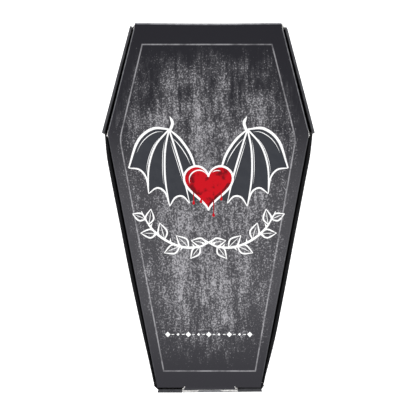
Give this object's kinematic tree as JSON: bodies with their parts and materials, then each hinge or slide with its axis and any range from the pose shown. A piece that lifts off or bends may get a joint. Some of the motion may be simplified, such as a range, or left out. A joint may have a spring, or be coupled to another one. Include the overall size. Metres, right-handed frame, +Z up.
{
  "type": "coffin-shaped folding carton with hinged lid",
  "caption": "Coffin-shaped folding carton of printed board: a tray with rolled side walls and a lid hinged at the head end, with side flaps and a lock tab tucked into a slot in the foot wall.",
  "frame": {"origin": "centre of the carton's box, at the underside of the floor panel it rests on", "axes": "+X across the width, +Y along the length towards the head end, +Z up through the lid's face"},
  "size_m": [0.0752, 0.1302, 0.024],
  "materials": {
    "printed_board": "printed black, satin",
    "bare_board": "uncoated, matte"
  },
  "bodies": {
    "tray": {"floor": "printed_board", "head_wall": "printed_board", "foot_wall": "printed_board", "upper_wall_left": "printed_board", "upper_wall_right": "printed_board", "lower_wall_left": "printed_board", "lower_wall_right": "printed_board"},
    "lid": {"lid": "printed_board", "lock_tab": "printed_board"},
    "upper_flap_left": {"upper_flap_left": "bare_board"},
    "upper_flap_right": {"upper_flap_right": "bare_board"},
    "lower_flap_left": {"lower_flap_left": "bare_board"},
    "lower_flap_right": {"lower_flap_right": "bare_board"}
  },
  "joints": [
    {"name": "lid_hinge", "type": "hinge", "parent": "tray", "child": "lid", "pos_m": [0, 0.06513, 0.024], "axis": [-1, 0, 0], "range_deg": [0, 180]},
    {"name": "upper_flap_left_crease", "type": "hinge", "parent": "lid", "child": "upper_flap_left", "pos_m": [-0.0257, 0.06255, 0.02325], "axis": [-0.2437, -0.9698, 0], "range_deg": [0, 85]},
    {"name": "upper_flap_right_crease", "type": "hinge", "parent": "lid", "child": "upper_flap_right", "pos_m": [0.0257, 0.06255, 0.02325], "axis": [-0.2437, 0.9698, 0], "range_deg": [0, 85]},
    {"name": "lower_flap_left_crease", "type": "hinge", "parent": "lid", "child": "lower_flap_left", "pos_m": [-0.03463, 0.02467, 0.02325], "axis": [0.1904, -0.9817, 0], "range_deg": [0, 85]},
    {"name": "lower_flap_right_crease", "type": "hinge", "parent": "lid", "child": "lower_flap_right", "pos_m": [0.03463, 0.02467, 0.02325], "axis": [0.1904, 0.9817, 0], "range_deg": [0, 85]}
  ]
}
